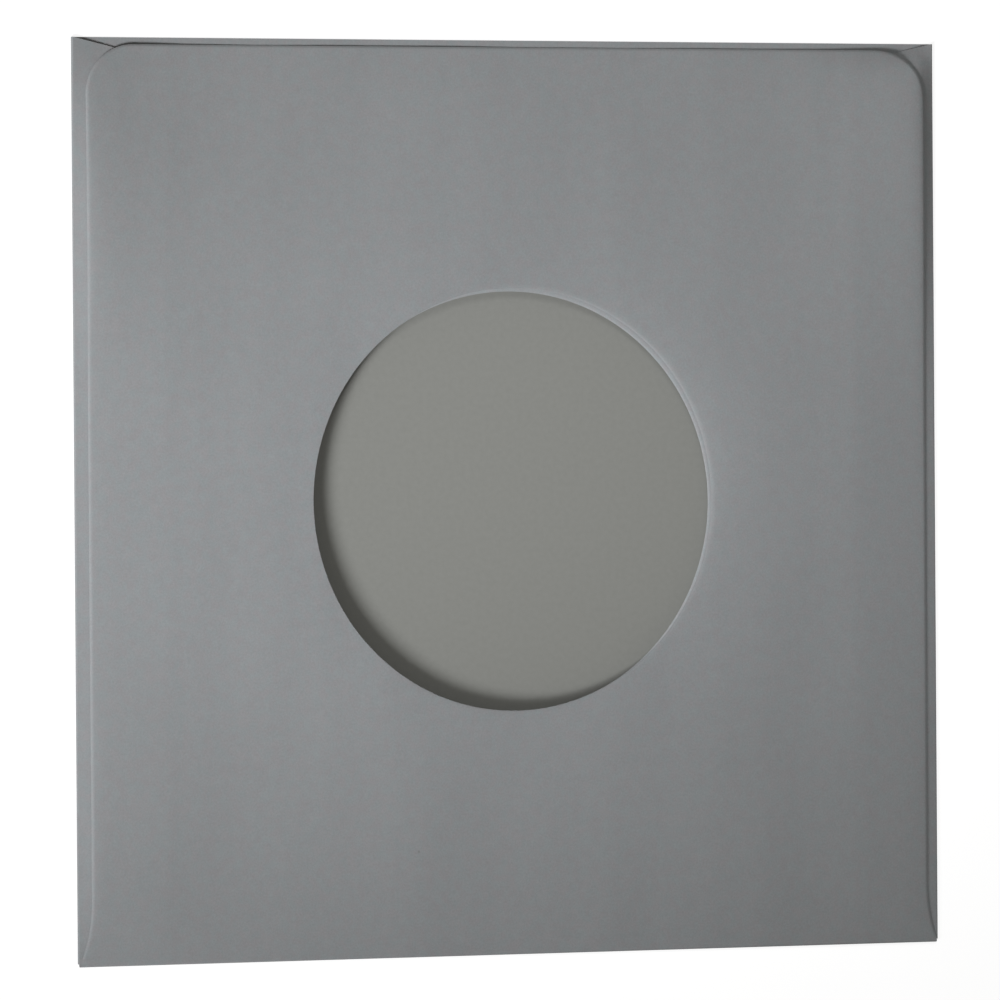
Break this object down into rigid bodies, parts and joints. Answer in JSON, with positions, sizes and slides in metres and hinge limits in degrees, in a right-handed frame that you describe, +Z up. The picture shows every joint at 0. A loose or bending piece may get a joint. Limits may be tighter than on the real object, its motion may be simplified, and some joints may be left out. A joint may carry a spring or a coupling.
{
  "type": "record sleeve",
  "caption": "Square paper pocket folded from a single die-cut sheet, open along its top edge, with a large round hole through both panels.",
  "frame": {"origin": "on the surface that the sleeve lies on, under the middle of its outline", "axes": "+X across the sleeve, +Y from the bottom fold to the open mouth, +Z up out of the front panel"},
  "size_m": [0.183, 0.184, 0.0036],
  "materials": {
    "paper": "uncoated"
  },
  "bodies": {
    "root": {"sleeve": "paper"}
  },
  "joints": []
}
